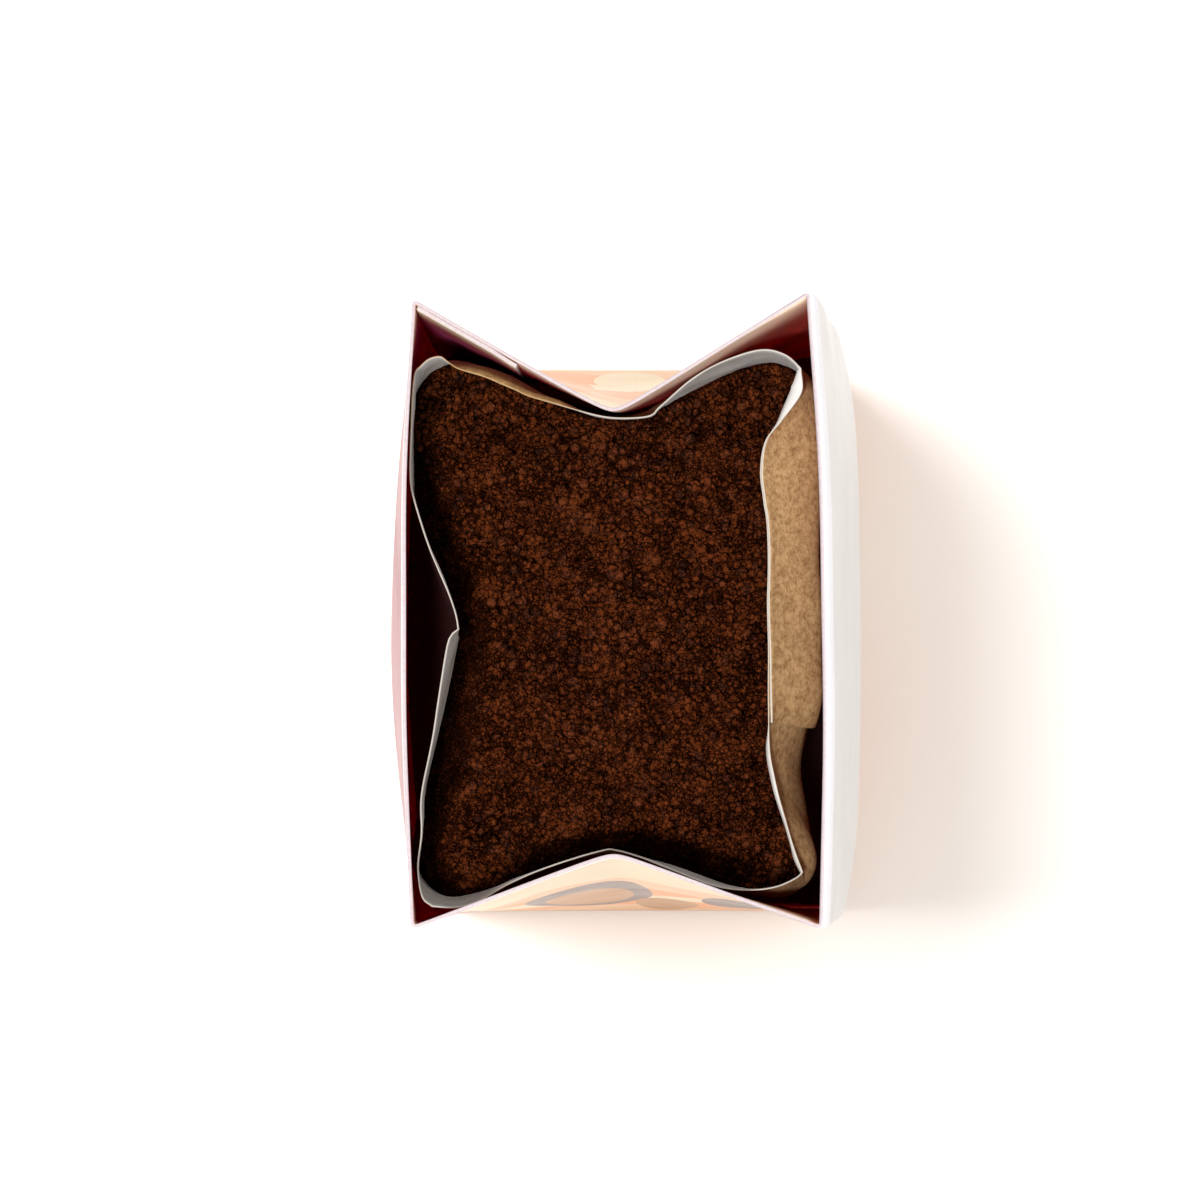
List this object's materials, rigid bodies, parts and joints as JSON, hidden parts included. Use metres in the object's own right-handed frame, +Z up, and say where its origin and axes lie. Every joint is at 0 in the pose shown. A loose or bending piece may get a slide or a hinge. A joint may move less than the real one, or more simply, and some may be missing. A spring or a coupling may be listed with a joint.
{
  "type": "coffee bag",
  "caption": "Opened board coffee pack with folded side gussets, a kraft paper liner inside and ground coffee filling it to below the rim.",
  "frame": {"origin": "middle of the pack's footprint, on the surface it stands on", "axes": "+Z up out of the open mouth, X across between the two wide faces (+X is the plain white face), Y between the two gussets (-Y is the near gusset)"},
  "size_m": [0.0878, 0.1108, 0.17],
  "materials": {
    "printed_board": "satin",
    "kraft_paper": "matte",
    "ground_coffee": "matte"
  },
  "bodies": {
    "root": {"outer_pack": "printed_board", "liner_bag": "kraft_paper", "ground_coffee": "ground_coffee"}
  },
  "joints": []
}
